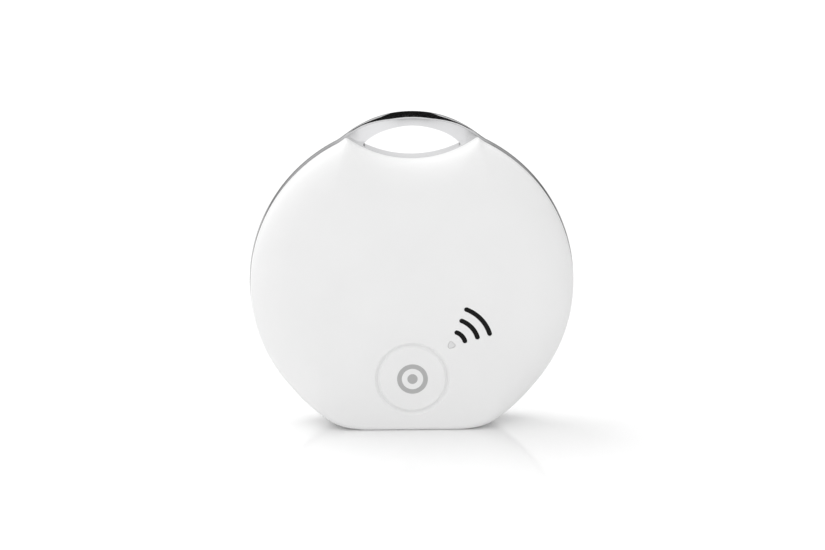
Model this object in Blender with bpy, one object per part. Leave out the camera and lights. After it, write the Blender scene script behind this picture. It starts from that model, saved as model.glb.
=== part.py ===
"""Bluetooth tracker tag: a round key finder that stands on its flat base.

The tag faces -Y, +Z is up and the origin is the middle of the base it stands on.
Heights named *_HEIGHT below are measured from the middle of the round body, and every
"depth" is a distance along Y. Lengths are millimetres times MM, so they are metres.
"""

import math

import bmesh
import bpy
from mathutils import Matrix, Vector

MM = 0.001
FAR_AWAY = 1.0
GAP = 0.05 * MM

# Outline, seen from the front.
BODY_RADIUS = 19.0 * MM
BASE_DROP = 17.25 * MM  # from the body's middle down to the flat base
SCOOP_RADIUS = 12.5 * MM
SCOOP_HEIGHT = 27.6 * MM
LOOP_HALF_WIDTH = 8.35 * MM
LOOP_RISE = 5.0 * MM
LOOP_HEIGHT = 15.22 * MM
EYE_RADIUS = 7.6 * MM
EYE_HEIGHT = 11.6 * MM
EYE_MIDDLE = 17.0 * MM
HORN_BLEND = 0.3 * MM
LOOP_BLEND = 1.1 * MM
BASE_BLEND = 1.0 * MM
EYE_BLEND = 0.5 * MM
INSET_BLEND = 1.2  # how much rounder a corner gets for each unit of inset

# Depths of the sandwich of front cover, frame and rear cover.
HALF_THICKNESS = 3.8 * MM
WALL = 1.1 * MM
FRAME_DEPTH = {-1: 0.3 * MM, 1: 1.25 * MM}  # in front of the middle plane and behind it
FRAME_WALL = 1.0 * MM
ARCH_HALF_DEPTH = 1.6 * MM  # the key loop swells to this at its middle
ARCH_FLAT = 1.5 * MM
ARCH_FOOT = 6.8 * MM
ARCH_CLEARANCE = 0.06 * MM
BAR_HALF_WIDTH = 7.0 * MM
FRAME_STANDS_PROUD = 0.12 * MM
SKIRT_WALL = 0.8 * MM
SKIRT_END = 0.15 * MM
SKIRT_ROOT = 1.9 * MM
ROLL_WIDTH = 4.5 * MM
ROLL_DEPTH = 2.3 * MM
BASE_ROLL = 0.5 * MM
INNER_ROLL = 2.2 * MM
OUTER_ROLL_STEPS = 7
INNER_ROLL_STEPS = 3
INNER_FACE = HALF_THICKNESS - WALL

# Button, in the lower middle of the front.
BUTTON_HEIGHT = -10.9 * MM
BUTTON_RADIUS = 4.04 * MM
BUTTON_HOLE_RADIUS = 4.12 * MM
BUTTON_FLANGE_RADIUS = 4.7 * MM
BUTTON_POST_RADIUS = 1.3 * MM
BUTTON_POST_TIP = -1.8 * MM
GROOVE_DEPTH = 0.25 * MM
GROOVE_HALF_WIDTH = 0.35 * MM

# Sound slots: three arcs about one centre, and the light pipe beside that centre.
SLOT_CENTRE = (4.55 * MM, -6.78 * MM)
SLOT_RADII = (1.65 * MM, 3.18 * MM, 4.67 * MM)
SLOT_WIDTH = 0.56 * MM
SLOT_FIRST_ANGLE = math.radians(17)
SLOT_LAST_ANGLE = math.radians(68)
PIPE_RADIUS = 0.4 * MM
PIPE_LOBE = 0.05 * MM

# Circuit board and what holds it.
BOARD_FRONT = -0.5 * MM
BOARD_REAR = 0.3 * MM
BOARD_INSET = 2.5 * MM
BOARD_END_X = 3.5 * MM
BOARD_END_HEIGHT = -5.0 * MM
SCREW_CENTRES = ((13.2 * MM, 6.6 * MM), (9.6 * MM, -11.2 * MM), (-9.6 * MM, -10.6 * MM))
SCREW_RADIUS = 0.45 * MM
SCREW_HEAD_RADIUS = 1.15 * MM
BOSS_RADIUS = 1.4 * MM

# Coin cell, 20 mm across and 3.2 mm thick, and its tray.
CELL_CENTRE = (-5.2 * MM, 2.7 * MM)
CELL_RADIUS = 10.0 * MM
CELL_FRONT = -1.15 * MM
CELL_REAR = 2.05 * MM
TRAY_RADIUS = 10.7 * MM
TRAY_BORE_RADIUS = 10.15 * MM
CONTACT_THICKNESS = 0.15 * MM
POSITIVE_CONTACT_ANGLE = math.radians(8)
NEGATIVE_CONTACT_ANGLE = math.radians(-88)

BUZZER_CENTRE = (8.5 * MM, -3.8 * MM)
BUZZER_RADIUS = 4.0 * MM

ROUND = 32  # sides of a middling round piece


# ---------------------------------------------------------------- outlines

def soft_min(a, b, blend):
    """The smaller of two distances, with the corner where they cross rounded off."""
    overlap = max(blend - abs(a - b), 0.0) / blend
    return min(a, b) - overlap * overlap * blend / 4


def soft_max(a, b, blend):
    return -soft_min(-a, -b, blend)


def ray_to_circle(angle, start, centre, radius, far):
    """How far a ray from height start on the middle line runs to a circle centred on that line."""
    rise = centre - start
    across = rise * math.cos(angle)
    if abs(across) >= radius:
        return FAR_AWAY
    half_chord = math.sqrt(radius * radius - across * across)
    reach = rise * math.sin(angle) + (half_chord if far else -half_chord)
    return reach if reach > 0 else FAR_AWAY


def ray_to_base(angle, drop):
    """How far a ray from the body's middle runs to a level line that far below it."""
    return drop / -math.sin(angle) if math.sin(angle) < -0.1 else FAR_AWAY


def ray_to_loop(angle, inset):
    """How far a ray from the body's middle runs to the key loop's outer ellipse."""
    across = math.cos(angle) / (LOOP_HALF_WIDTH - inset)
    up = math.sin(angle) / (LOOP_RISE - inset)
    rise = LOOP_HEIGHT / (LOOP_RISE - inset)
    square = across * across + up * up
    within = (up * rise) ** 2 - square * (rise * rise - 1)
    return (up * rise + math.sqrt(within)) / square if within > 0 and up > 0 else FAR_AWAY


def crown_radius(angle, inset=0.0):
    """Polar radius of the round body and the key loop above it, without the base."""
    loop = ray_to_loop(angle, inset)
    side = BODY_RADIUS - inset
    return side if loop == FAR_AWAY else soft_max(side, loop, LOOP_BLEND)


def body_radius(angle, inset=0.0, base_inset=0.0):
    """Polar radius of the body's outline with the scoop under the key loop, moved in by an inset."""
    side = crown_radius(angle, inset)
    base = ray_to_base(angle, BASE_DROP - base_inset)
    scoop = ray_to_circle(angle, 0.0, SCOOP_HEIGHT, SCOOP_RADIUS + inset, far=False)
    rounded = soft_min(side, base, BASE_BLEND + INSET_BLEND * base_inset)
    return soft_min(rounded, scoop, HORN_BLEND + INSET_BLEND * inset)


def frame_radius(angle):
    """Polar radius of the frame's outline: the round body, the key loop above it and the base."""
    return soft_min(crown_radius(angle), ray_to_base(angle, BASE_DROP), BASE_BLEND)


def frame_inner_radius(angle):
    """Polar radius of the frame's inner side. Under the key loop it runs just above the scoop."""
    wall = soft_min(
        BODY_RADIUS - FRAME_WALL, ray_to_base(angle, BASE_DROP - FRAME_WALL),
        BASE_BLEND + INSET_BLEND * FRAME_WALL,
    )
    scoop = ray_to_circle(angle, 0.0, SCOOP_HEIGHT, SCOOP_RADIUS, far=False)
    return min(wall, scoop + ARCH_CLEARANCE)


def frame_depth(side, x, height):
    """Depth of the frame's front (side -1) or rear (side 1), which swells towards the key loop's middle."""
    share = min(max((ARCH_FOOT - abs(x)) / (ARCH_FOOT - ARCH_FLAT), 0.0), 1.0) if height > 0 else 0.0
    swell = share * share * (3 - 2 * share)
    return side * (FRAME_DEPTH[side] + (ARCH_HALF_DEPTH - FRAME_DEPTH[side]) * swell)


def eye_radius(angle):
    """Polar radius of the hole in the key loop, about its own middle. Its floor is the scoop."""
    roof = ray_to_circle(angle, EYE_MIDDLE, EYE_HEIGHT, EYE_RADIUS, far=True)
    floor = ray_to_circle(angle, EYE_MIDDLE, SCOOP_HEIGHT, SCOOP_RADIUS, far=True)
    return soft_min(roof, floor, EYE_BLEND)


def spaced(first, last, count):
    """Angles in radians from first degrees up to, and without, last degrees."""
    return [math.radians(first + (last - first) * i / count) for i in range(count)]


# Closer together at the scoop and at the ends of the base, where the outline turns quickly.
BODY_ANGLES = (
    spaced(-60, 55, 23) + spaced(55, 80, 14) + spaced(80, 100, 6)
    + spaced(100, 125, 14) + spaced(125, 240, 23) + spaced(240, 300, 20)
)
EYE_ANGLES = spaced(-30, 30, 10) + spaced(30, 150, 10) + spaced(150, 210, 10) + spaced(210, 330, 8)


def polar(radius_at, angles=BODY_ANGLES, middle=0.0):
    """Outline points (x, height) of a polar radius, a distance middle above the body's middle."""
    return [
        (radius_at(a) * math.cos(a), middle + radius_at(a) * math.sin(a)) for a in angles
    ]


def circle(radius, centre=(0.0, 0.0), count=ROUND):
    turn = 2 * math.pi / count
    return [
        (centre[0] + radius * math.cos(turn * i), centre[1] + radius * math.sin(turn * i))
        for i in range(count)
    ]


def slot_outline(radius, steps=8, cap_steps=4):
    """A round-ended slot along an arc about the slots' centre."""
    half = SLOT_WIDTH / 2
    sweep = SLOT_LAST_ANGLE - SLOT_FIRST_ANGLE
    points = []
    for side, start, direction in ((half, SLOT_FIRST_ANGLE, 1), (-half, SLOT_LAST_ANGLE, -1)):
        for i in range(steps + 1):
            a = start + direction * sweep * i / steps
            points.append(((radius + side) * math.cos(a), (radius + side) * math.sin(a)))
        end = start + direction * sweep
        for i in range(1, cap_steps):
            turn = math.pi * i / cap_steps
            along = half * math.sin(turn) * direction
            across = side * math.cos(turn)
            points.append((
                (radius + across) * math.cos(end) - along * math.sin(end),
                (radius + across) * math.sin(end) + along * math.cos(end),
            ))
    return [(SLOT_CENTRE[0] + x, SLOT_CENTRE[1] + z) for x, z in points]


def pipe_outline(extra=0.0, count=18):
    """The light pipe's rounded triangle, one corner pointing at the base's left end."""
    points = []
    for i in range(count):
        a = 2 * math.pi * i / count
        radius = PIPE_RADIUS + extra + PIPE_LOBE * math.cos(3 * (a - math.radians(225)))
        points.append((SLOT_CENTRE[0] + radius * math.cos(a), SLOT_CENTRE[1] + radius * math.sin(a)))
    return points


# ---------------------------------------------------------------- solids

def add_loft(bm, rings, closed=False):
    """A skin over rings of equal length. Unless it closes on itself, both ends get a flat cap."""
    rows = [[bm.verts.new(p) for p in ring] for ring in rings]
    pairs = list(zip(rows, rows[1:]))
    if closed:
        pairs.append((rows[-1], rows[0]))
    for low, high in pairs:
        for i in range(len(low)):
            j = (i + 1) % len(low)
            bm.faces.new((low[i], low[j], high[j], high[i]))
    if not closed:
        bm.faces.new(rows[0])
        bm.faces.new(rows[-1])


def add_prism(bm, outline, front, rear):
    """An outline of (x, height) points, extruded from depth front to depth rear."""
    add_loft(bm, [[Vector((x, depth, z)) for x, z in outline] for depth in (front, rear)])


def add_turned(bm, profile, centre=(0.0, 0.0), count=ROUND):
    """A profile of (radius, depth) points turned about the Y line through centre.

    A profile that begins and ends on the axis makes a solid, and any other one a ring.
    """
    turn = 2 * math.pi / count
    rows = []
    for radius, depth in profile:
        spokes = 1 if radius == 0 else count
        rows.append([
            bm.verts.new((
                centre[0] + radius * math.cos(turn * i),
                depth,
                centre[1] + radius * math.sin(turn * i),
            ))
            for i in range(spokes)
        ])
    pairs = list(zip(rows, rows[1:]))
    if profile[0][0] != 0:
        pairs.append((rows[-1], rows[0]))
    for low, high in pairs:
        for i in range(count):
            j = (i + 1) % count
            corners = [low[i % len(low)], low[j % len(low)], high[j % len(high)], high[i % len(high)]]
            bm.faces.new(list(dict.fromkeys(corners)))


def add_box(bm, centre, size, turn=0.0):
    """A box about centre (x, depth, height), turned about the Y axis."""
    matrix = (
        Matrix.Translation(centre)
        @ Matrix.Rotation(turn, 4, "Y")
        @ Matrix.Diagonal((*size, 1.0))
    )
    bmesh.ops.create_cube(bm, size=1.0, matrix=matrix)


def disc(radius, front, rear):
    """Profile of a plain round solid."""
    return [(0.0, front), (radius, front), (radius, rear), (0.0, rear)]


MATERIALS = {
    "white_plastic": ((0.86, 0.86, 0.86), 0.45, 0.0),
    "button_plastic": ((0.86, 0.86, 0.86), 0.42, 0.0),
    "chrome": ((0.8, 0.8, 0.81), 0.12, 1.0),
    "light_pipe": ((0.72, 0.72, 0.72), 0.3, 0.0),
    "black_mesh": ((0.01, 0.01, 0.01), 0.9, 0.0),
    "black_plastic": ((0.02, 0.02, 0.02), 0.5, 0.0),
    "brass": ((0.78, 0.6, 0.3), 0.3, 1.0),
    "ceramic": ((0.75, 0.73, 0.68), 0.5, 0.0),
    "board": ((0.02, 0.16, 0.08), 0.4, 0.0),
    "capacitor_body": ((0.45, 0.33, 0.22), 0.5, 0.0),
    "steel": ((0.66, 0.66, 0.67), 0.28, 1.0),
    "gold_plate": ((0.83, 0.68, 0.38), 0.25, 1.0),
    "cell_seal": ((0.05, 0.07, 0.16), 0.6, 0.0),
    "foam": ((0.06, 0.06, 0.06), 0.95, 0.0),
    "led_body": ((0.8, 0.8, 0.7), 0.4, 0.0),
}


def material(name):
    """The Principled material of that name, made once."""
    made = bpy.data.materials.get(name)
    if made:
        return made
    colour, roughness, metallic = MATERIALS[name]
    made = bpy.data.materials.new(name)
    made.use_nodes = True
    shader = made.node_tree.nodes["Principled BSDF"]
    shader.inputs["Base Color"].default_value = (*colour, 1.0)
    shader.inputs["Roughness"].default_value = roughness
    shader.inputs["Metallic"].default_value = metallic
    return made


def finish(name, bm, surface, origin=(0.0, 0.0)):
    """Makes the object of a mesh drawn about the body's middle, with its own origin at (x, height)."""
    bmesh.ops.recalc_face_normals(bm, faces=bm.faces)
    bmesh.ops.translate(bm, verts=bm.verts, vec=(-origin[0], 0.0, -origin[1]))
    mesh = bpy.data.meshes.new(name)
    bm.to_mesh(mesh)
    bm.free()
    mesh.shade_smooth()
    mesh.set_sharp_from_angle(angle=math.radians(35))
    mesh.materials.append(material(surface))
    made = bpy.data.objects.new(name, mesh)
    bpy.context.scene.collection.objects.link(made)
    made.parent = body_middle
    made.location = (origin[0], 0.0, origin[1])
    return made


def combine(target, bm, operation, label="tool"):
    """Joins the bodies in bm to target or cuts them from it, with a Boolean modifier and a hidden helper."""
    helper = finish(f"{target.name}_{label}", bm, "steel")
    helper.hide_render = True
    helper.display_type = "WIRE"
    modifier = target.modifiers.new(label, "BOOLEAN")
    modifier.object = helper
    modifier.operation = operation
    modifier.solver = "EXACT"


def simple(name, surface, adder, *shape, origin=(0.0, 0.0), **options):
    """An object of one added body."""
    bm = bmesh.new()
    adder(bm, *shape, **options)
    return finish(name, bm, surface, origin)


# ---------------------------------------------------------------- covers and frame

def base_share(angle):
    """1 along the flat base, where the covers' edge is tight, and 0 at the sides and top."""
    share = min(max((-math.sin(angle) - 0.62) / 0.33, 0.0), 1.0)
    return share * share * (3 - 2 * share)


def mix(wide, tight, angle):
    share = base_share(angle)
    return wide * (1 - share) + tight * share


def cover_ring(side, inset_at, depth_at):
    """One ring of a cover. side is -1 for the front and 1 for the rear."""
    ring = []
    for angle in BODY_ANGLES:
        inset, base_inset = inset_at(angle)
        radius = body_radius(angle, inset, base_inset)
        ring.append(Vector((radius * math.cos(angle), side * depth_at(angle), radius * math.sin(angle))))
    return ring


def level_ring(side, inset, base_inset, depth):
    return cover_ring(side, lambda _: (inset, base_inset), lambda _: depth)


def outer_roll_ring(side, phi):
    """A ring of the cover's rounded edge, from the straight side at phi 0 to the flat face at 90 degrees."""
    def inset(angle):
        rolled = mix(ROLL_WIDTH, BASE_ROLL, angle) * (1 - math.cos(phi))
        return FRAME_STANDS_PROUD + rolled, rolled

    def depth(angle):
        return HALF_THICKNESS - mix(ROLL_DEPTH, BASE_ROLL, angle) * (1 - math.sin(phi))

    return cover_ring(side, inset, depth)


def inner_roll_ring(side, phi):
    """The same inside the cover, from the ledge behind the skirt to the flat inner face."""
    def inset(angle):
        rolled = mix(INNER_ROLL, 0.2 * MM, angle) * (1 - math.cos(phi))
        return FRAME_STANDS_PROUD + WALL + rolled, WALL + rolled

    def depth(_):
        return SKIRT_ROOT + (INNER_FACE - SKIRT_ROOT) * math.sin(phi)

    return cover_ring(side, inset, depth)


def make_cover(name, side):
    """A cover: flat face, rounded edge, straight side, and the skirt that sits inside the frame."""
    quarter = math.pi / 2
    skirt_outer = FRAME_WALL + 0.08 * MM
    skirt_inner = skirt_outer + SKIRT_WALL
    parting = FRAME_DEPTH[side] + GAP
    rings = [outer_roll_ring(side, quarter * (1 - i / OUTER_ROLL_STEPS)) for i in range(OUTER_ROLL_STEPS + 1)]
    rings += [
        level_ring(side, FRAME_STANDS_PROUD, 0.0, parting),
        level_ring(side, skirt_outer, skirt_outer, parting),
        level_ring(side, skirt_outer, skirt_outer, SKIRT_END),
        level_ring(side, skirt_inner, skirt_inner, SKIRT_END),
        level_ring(side, skirt_inner, skirt_inner, SKIRT_ROOT),
    ]
    rings += [inner_roll_ring(side, quarter * i / INNER_ROLL_STEPS) for i in range(INNER_ROLL_STEPS + 1)]
    bm = bmesh.new()
    add_loft(bm, rings)
    return finish(name, bm, "white_plastic")


def make_front_cover():
    cover = make_cover("front_cover", -1)
    bosses = bmesh.new()
    for centre in SCREW_CENTRES:
        add_turned(bosses, disc(BOSS_RADIUS, -INNER_FACE - 0.2 * MM, BOARD_FRONT - GAP), centre, 20)
    combine(cover, bosses, "UNION", "bosses")

    cuts = bmesh.new()
    slope = GROOVE_HALF_WIDTH - (BUTTON_HOLE_RADIUS - BUTTON_RADIUS) / 2
    beyond = 0.4 * MM
    add_turned(cuts, [
        (0.0, -HALF_THICKNESS - beyond),
        (BUTTON_HOLE_RADIUS + slope * (1 + beyond / GROOVE_DEPTH), -HALF_THICKNESS - beyond),
        (BUTTON_HOLE_RADIUS, -HALF_THICKNESS + GROOVE_DEPTH),
        (BUTTON_HOLE_RADIUS, -INNER_FACE + beyond),
        (0.0, -INNER_FACE + beyond),
    ], (0.0, BUTTON_HEIGHT), 48)
    for radius in SLOT_RADII:
        add_prism(cuts, slot_outline(radius), -HALF_THICKNESS - beyond, -INNER_FACE + beyond)
    add_prism(cuts, pipe_outline(GAP), -HALF_THICKNESS - beyond, -INNER_FACE + beyond)
    for centre in SCREW_CENTRES:
        add_turned(cuts, disc(SCREW_RADIUS + GAP, -2.5 * MM, 0.0), centre, 12)
    combine(cover, cuts, "DIFFERENCE")


def make_rear_cover():
    """The rear cover snaps on, and a notch at its base takes a coin or a nail to prise it off."""
    cover = make_cover("rear_cover", 1)
    notch = bmesh.new()
    add_box(notch, (0.0, 1.7 * MM, -BASE_DROP), (6.4 * MM, 1.0 * MM, 1.6 * MM))
    combine(cover, notch, "DIFFERENCE")


def frame_section(angle):
    """Four corners of the frame's section at an angle, from inner front to inner rear."""
    inner, outer = frame_inner_radius(angle), frame_radius(angle)
    height = outer * math.sin(angle)
    front, rear = (frame_depth(side, outer * math.cos(angle), height) for side in (-1, 1))
    return [
        Vector((radius * math.cos(angle), depth, radius * math.sin(angle)))
        for radius, depth in ((inner, front), (outer, front), (outer, rear), (inner, rear))
    ]


def bar_outline():
    """The frame's bar along the scoop. Its top is trimmed by the eye's floor."""
    points = []
    for radius, direction in ((SCOOP_RADIUS - 0.1 * MM, 1), (SCOOP_RADIUS + FRAME_WALL, -1)):
        half_turn = math.asin(BAR_HALF_WIDTH / radius)
        for i in range(17):
            turn = direction * half_turn * (i / 8 - 1)
            points.append((radius * math.sin(turn), SCOOP_HEIGHT - radius * math.cos(turn)))
    return points


def make_key_loop_frame():
    """The plated band between the covers, with the key loop above the scoop and the bar under it."""
    frame = simple("key_loop_frame", "chrome", add_loft, [frame_section(a) for a in BODY_ANGLES], closed=True)
    bar = bmesh.new()
    add_prism(bar, bar_outline(), -FRAME_DEPTH[-1], FRAME_DEPTH[1])
    combine(frame, bar, "UNION", "bar")
    eye = bmesh.new()
    through = ARCH_HALF_DEPTH + 1.0 * MM
    add_prism(eye, polar(eye_radius, EYE_ANGLES, EYE_MIDDLE), -through, through)
    combine(frame, eye, "DIFFERENCE", "eye")


# ---------------------------------------------------------------- button, light and sound

def make_button():
    """The cap: a face in the cover's hole, a flange behind the wall and a post on the switch."""
    flange_front = -INNER_FACE + GAP
    flange_rear = flange_front + 0.35 * MM
    hollow = -3.0 * MM
    simple("button_cap", "button_plastic", add_turned, [
        (0.0, -HALF_THICKNESS),
        (BUTTON_RADIUS - GROOVE_HALF_WIDTH, -HALF_THICKNESS),
        (BUTTON_RADIUS, -HALF_THICKNESS + GROOVE_DEPTH),
        (BUTTON_RADIUS, flange_front),
        (BUTTON_FLANGE_RADIUS, flange_front),
        (BUTTON_FLANGE_RADIUS, flange_rear),
        (3.2 * MM, flange_rear),
        (3.2 * MM, hollow),
        (BUTTON_POST_RADIUS, hollow),
        (BUTTON_POST_RADIUS, BUTTON_POST_TIP),
        (0.0, BUTTON_POST_TIP),
    ], centre=(0.0, BUTTON_HEIGHT), count=48, origin=(0.0, BUTTON_HEIGHT))


def make_switch():
    """Tactile switch under the button: base with a round well, steel plate and plunger."""
    middle = (0.0, BUTTON_HEIGHT)
    side = 4.6 * MM
    well_front = -1.15 * MM
    plate_front = well_front - GAP - 0.15 * MM
    base_rear = BOARD_FRONT - GAP

    base = simple(
        "switch_base", "black_plastic", add_box,
        (0.0, (well_front + base_rear) / 2, BUTTON_HEIGHT), (side, base_rear - well_front, side),
    )
    well = bmesh.new()
    add_turned(well, disc(1.6 * MM, well_front - 0.5 * MM, -0.68 * MM), middle, 24)
    combine(base, well, "DIFFERENCE")

    plate = simple(
        "switch_plate", "steel", add_box,
        (0.0, plate_front + 0.075 * MM, BUTTON_HEIGHT), (side, 0.15 * MM, side),
    )
    hole = bmesh.new()
    add_turned(hole, disc(1.1 * MM, plate_front - 0.5 * MM, well_front), middle, 24)
    combine(plate, hole, "DIFFERENCE")

    simple("switch_plunger", "black_plastic", add_turned, [
        (0.0, BUTTON_POST_TIP + GAP),
        (1.0 * MM, BUTTON_POST_TIP + GAP),
        (1.0 * MM, well_front),
        (1.4 * MM, well_front),
        (1.4 * MM, -1.0 * MM),
        (0.0, -1.0 * MM),
    ], centre=middle, count=24, origin=middle)


def make_light():
    """A frosted light pipe from the front face to the status LED on the board."""
    pipe = simple("led_light_pipe", "light_pipe", add_prism, pipe_outline(), -HALF_THICKNESS, -1.2 * MM)
    flange = bmesh.new()
    add_turned(flange, disc(0.6 * MM, -INNER_FACE + GAP, -2.35 * MM), SLOT_CENTRE, 18)
    combine(pipe, flange, "UNION", "flange")
    simple(
        "status_led", "led_body", add_box,
        (SLOT_CENTRE[0], -0.825 * MM, SLOT_CENTRE[1]), (1.0 * MM, 0.55 * MM, 0.5 * MM), turn=math.radians(45),
    )


def make_sounder():
    """Acoustic mesh behind the slots, and the piezo buzzer on the board."""
    bisector = (SLOT_FIRST_ANGLE + SLOT_LAST_ANGLE) / 2
    reach = 3.3 * MM
    mesh_centre = (
        SLOT_CENTRE[0] + reach * math.cos(bisector),
        SLOT_CENTRE[1] + reach * math.sin(bisector),
    )
    simple(
        "speaker_mesh", "black_mesh", add_turned,
        disc(2.55 * MM, -INNER_FACE + GAP, -2.45 * MM), centre=mesh_centre,
    )
    front = -2.35 * MM
    rear = BOARD_FRONT - GAP
    wall = 0.4 * MM
    port = 0.8 * MM
    simple("buzzer_housing", "black_plastic", add_turned, [
        (port, front),
        (BUZZER_RADIUS, front),
        (BUZZER_RADIUS, rear),
        (BUZZER_RADIUS - wall, rear),
        (BUZZER_RADIUS - wall, front + wall),
        (port, front + wall),
    ], centre=BUZZER_CENTRE)
    plate_front = -1.3 * MM
    simple(
        "buzzer_diaphragm", "brass", add_turned,
        disc(BUZZER_RADIUS - wall - GAP, plate_front, plate_front + 0.15 * MM), centre=BUZZER_CENTRE,
    )
    simple(
        "buzzer_ceramic", "ceramic", add_turned,
        disc(2.4 * MM, plate_front + 0.2 * MM, plate_front + 0.35 * MM), centre=BUZZER_CENTRE, count=24,
    )


# ---------------------------------------------------------------- circuit board

def make_board():
    """The board, cut away around the coin cell's tray."""
    board = simple(
        "circuit_board", "board", add_prism,
        polar(lambda a: body_radius(a, BOARD_INSET, 2.1 * MM)), BOARD_FRONT, BOARD_REAR,
    )
    cuts = bmesh.new()
    add_turned(cuts, disc(TRAY_RADIUS + 0.25 * MM, -1 * MM, 1 * MM), CELL_CENTRE, 64)
    for centre in SCREW_CENTRES:
        add_turned(cuts, disc(SCREW_RADIUS + 0.2 * MM, -1 * MM, 1 * MM), centre, 16)
    combine(board, cuts, "DIFFERENCE")
    ends = bmesh.new()
    reach = 24 * MM
    add_box(
        ends,
        (BOARD_END_X - reach / 2, 0.0, BOARD_END_HEIGHT + reach / 2),
        (reach, 2.2 * MM, reach),
    )
    combine(board, ends, "DIFFERENCE", "ends")


def make_chip(name, surface, centre, size, turn=0.0):
    """A block on the rear of the board: size is its width, its height off the board and its length."""
    depth = BOARD_REAR + GAP + size[1] * MM / 2
    simple(
        name, surface, add_box,
        (centre[0] * MM, depth, centre[1] * MM), tuple(s * MM for s in size), turn=turn,
    )


def make_chips():
    make_chip("bluetooth_chip", "black_plastic", (11.0, 1.5), (5.0, 0.85, 5.0))
    make_chip("chip_antenna", "ceramic", (8.4, 10.6), (6.0, 0.8, 2.0), turn=math.radians(42))
    make_chip("crystal_main", "steel", (11.6, -3.6), (3.2, 0.7, 2.5))
    make_chip("crystal_clock", "steel", (7.4, -4.4), (1.4, 0.6, 3.0))
    make_chip("buzzer_coil", "black_plastic", (4.6, -10.6), (2.6, 1.1, 2.2))
    make_chip("buzzer_transistor", "black_plastic", (-4.6, -11.4), (2.9, 1.0, 1.4))
    for i in range(6):
        column, row = divmod(i, 3)
        make_chip(f"capacitor_{i + 1}", "capacitor_body", (7.2 + 7.4 * column, -1.6 + 1.4 * row), (0.8, 0.6, 0.5))
    for i in range(3):
        make_chip(f"resistor_{i + 1}", "black_plastic", (-0.6 + 1.4 * i, -13.2), (0.6, 0.4, 1.1))


def plus_outline(centre):
    """A screwdriver cross: a plus sign with arms 0.65 mm long and 0.26 mm wide."""
    long, half = 0.65 * MM, 0.13 * MM
    points = []
    for quarter in range(4):
        c, d = math.cos(math.pi * quarter / 2), math.sin(math.pi * quarter / 2)
        for x, z in ((long, -half), (long, half), (half, half)):
            points.append((centre[0] + x * c - z * d, centre[1] + x * d + z * c))
    return points


def make_screws():
    """Three self-tapping screws that hold the board on the front cover's bosses."""
    head_front = BOARD_REAR + GAP
    head_rear = head_front + 0.6 * MM
    for i, centre in enumerate(SCREW_CENTRES):
        screw = simple(f"pcb_screw_{i + 1}", "steel", add_turned, [
            (0.0, -2.3 * MM),
            (0.2 * MM, -2.3 * MM),
            (SCREW_RADIUS, -1.9 * MM),
            (SCREW_RADIUS, head_front),
            (SCREW_HEAD_RADIUS, head_front),
            (SCREW_HEAD_RADIUS, head_rear - 0.2 * MM),
            (SCREW_HEAD_RADIUS - 0.3 * MM, head_rear),
            (0.0, head_rear),
        ], centre=centre, count=16, origin=centre)
        cross = bmesh.new()
        add_prism(cross, plus_outline(centre), head_rear - 0.25 * MM, head_rear + 0.25 * MM)
        combine(screw, cross, "DIFFERENCE")


# ---------------------------------------------------------------- battery

def make_tray():
    """A moulded cup for the coin cell, with a notch and a window for its two contacts."""
    floor_front = -1.65 * MM
    floor_rear = -1.25 * MM
    tray = simple("battery_tray", "black_plastic", add_turned, [
        (0.0, floor_front),
        (TRAY_RADIUS, floor_front),
        (TRAY_RADIUS, 1.0 * MM),
        (TRAY_BORE_RADIUS, 1.0 * MM),
        (TRAY_BORE_RADIUS, floor_rear),
        (0.0, floor_rear),
    ], centre=CELL_CENTRE, count=48)
    cuts = bmesh.new()
    add_box(cuts, (CELL_CENTRE[0], floor_front, CELL_CENTRE[1]), (6.4 * MM, 2.0 * MM, 4.0 * MM),
            turn=-NEGATIVE_CONTACT_ANGLE)
    along = 10.4 * MM
    add_box(cuts, (
        CELL_CENTRE[0] + along * math.cos(POSITIVE_CONTACT_ANGLE),
        0.6 * MM,
        CELL_CENTRE[1] + along * math.sin(POSITIVE_CONTACT_ANGLE),
    ), (2.0 * MM, 2.2 * MM, 3.4 * MM), turn=-POSITIVE_CONTACT_ANGLE)
    combine(tray, cuts, "DIFFERENCE")


def make_strip(name, path, width, angle):
    """A bent contact strip: a path of (distance from the cell's middle, depth), given its thickness.

    The path runs outwards along angle, and the strip is width wide across it.
    """
    half = CONTACT_THICKNESS / 2
    offsets = []
    for i, (u, y) in enumerate(path):
        before = Vector(path[i]) - Vector(path[i - 1]) if i else Vector(path[1]) - Vector(path[0])
        after = Vector(path[i + 1]) - Vector(path[i]) if i + 1 < len(path) else before
        normals = [Vector((-d.y, d.x)).normalized() for d in (before, after)]
        mitre = (normals[0] + normals[1]) / (1 + normals[0].dot(normals[1]))
        offsets.append((Vector((u, y)), mitre * half))
    section = [p + o for p, o in offsets] + [p - o for p, o in reversed(offsets)]
    rings = []
    for across in (-width / 2, width / 2):
        rings.append([
            Vector((
                CELL_CENTRE[0] + s.x * math.cos(angle) - across * math.sin(angle),
                s.y,
                CELL_CENTRE[1] + s.x * math.sin(angle) + across * math.cos(angle),
            ))
            for s in section
        ])
    bm = bmesh.new()
    add_loft(bm, rings)
    finish(name, bm, "gold_plate")


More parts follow.
